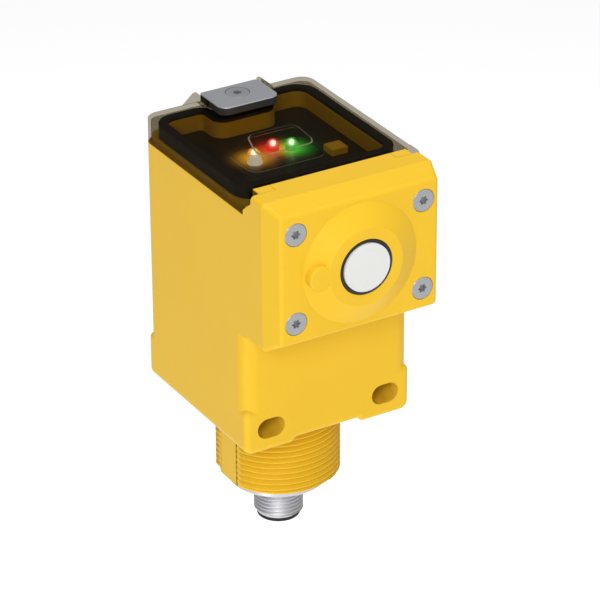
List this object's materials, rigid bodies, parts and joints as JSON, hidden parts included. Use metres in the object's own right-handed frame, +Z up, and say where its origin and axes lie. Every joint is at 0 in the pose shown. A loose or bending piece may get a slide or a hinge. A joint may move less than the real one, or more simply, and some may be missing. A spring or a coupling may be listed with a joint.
{
  "type": "ultrasonic distance sensor",
  "caption": "Block-shaped ultrasonic distance sensor with a hinged see-through window, raised round transducer, threaded neck and round plug connector.",
  "frame": {"origin": "on the axis of the threaded neck, level with the soles of the feet", "axes": "+Z up towards the window, -Y out of the transducer, the neck and its connector point along -Z"},
  "size_m": [0.0446, 0.0636, 0.1049],
  "materials": {
    "aluminium_can": "satin",
    "amber_button": "satin",
    "black_plastic": "satin",
    "black_rubber": "matte",
    "brass_insert": "machined",
    "circuit_board": "solder mask",
    "clear_lens": "clear",
    "grey_metal": "satin",
    "led_amber": "lit",
    "led_green": "lit",
    "led_red": "lit",
    "nickel_shell": "nickel plated",
    "smoked_window": "smoked, see-through",
    "white_face": "matte",
    "white_lamp": "translucent white",
    "wire_black": "insulated",
    "wire_blue": "insulated",
    "wire_brown": "insulated",
    "wire_grey": "insulated",
    "wire_white": "insulated",
    "yellow_cap": "satin moulded",
    "yellow_case": "satin moulded",
    "zinc_screw": "satin"
  },
  "bodies": {
    "base": {"board_header": "black_plastic", "capacitor_lower": "aluminium_can", "capacitor_upper": "aluminium_can", "clamp_insert": "brass_insert", "connector_flange": "nickel_shell", "connector_insert": "black_plastic", "connector_pin_black": "brass_insert", "connector_pin_blue": "brass_insert", "connector_pin_brown": "brass_insert", "connector_pin_grey": "brass_insert", "connector_pin_white": "brass_insert", "connector_shell": "nickel_shell", "control_panel": "black_plastic", "controller_chip": "black_plastic", "cover_gasket": "black_rubber", "drive_transformer": "black_plastic", "flange_o_ring": "black_rubber", "head_gasket": "black_rubber", "head_insert_lower_left": "brass_insert", "head_insert_lower_right": "brass_insert", "head_insert_upper_left": "brass_insert", "head_insert_upper_right": "brass_insert", "head_screw_lower_left": "zinc_screw", "head_screw_lower_right": "zinc_screw", "head_screw_upper_left": "zinc_screw", "head_screw_upper_right": "zinc_screw", "hinge_cap_left": "yellow_case", "hinge_cap_right": "yellow_case", "housing": "yellow_case", "indicator_board": "circuit_board", "lead_wire_black": "wire_black", "lead_wire_blue": "wire_blue", "lead_wire_brown": "wire_brown", "lead_wire_grey": "wire_grey", "lead_wire_white": "wire_white", "led_amber": "led_amber", "led_green": "led_green", "led_red": "led_red", "main_board": "circuit_board", "signal_lamp": "white_lamp", "status_lens": "clear_lens", "tact_switch": "black_plastic", "temperature_cap": "yellow_cap", "thermistor": "black_plastic", "transducer_can": "aluminium_can", "transducer_face": "white_face", "transducer_head": "yellow_case", "transducer_lead_left": "wire_blue", "transducer_lead_right": "wire_blue", "transducer_ring": "black_rubber", "wire_header": "black_plastic"},
    "cover": {"clear_cover": "smoked_window", "clamp_plate": "grey_metal"},
    "clamp_screw": {"clamp_screw": "zinc_screw", "clamp_keeper": "zinc_screw"},
    "program_button": {"program_button": "amber_button", "switch_plunger": "black_plastic"}
  },
  "joints": [
    {"name": "cover_hinge", "type": "hinge", "parent": "base", "child": "cover", "pos_m": [0, -0.026, 0.0678], "axis": [1, 0, 0], "range_deg": [0, 100]},
    {"name": "clamp_screw_turn", "type": "hinge", "parent": "cover", "child": "clamp_screw", "pos_m": [0, 0.0174, 0.0707], "axis": [0, 0, 1], "continuous": true},
    {"name": "button_press", "type": "slide", "parent": "base", "child": "program_button", "axis": [0, 0, -1], "range_m": [0, 0.0005], "stiffness_N_per_m": 1000}
  ]
}
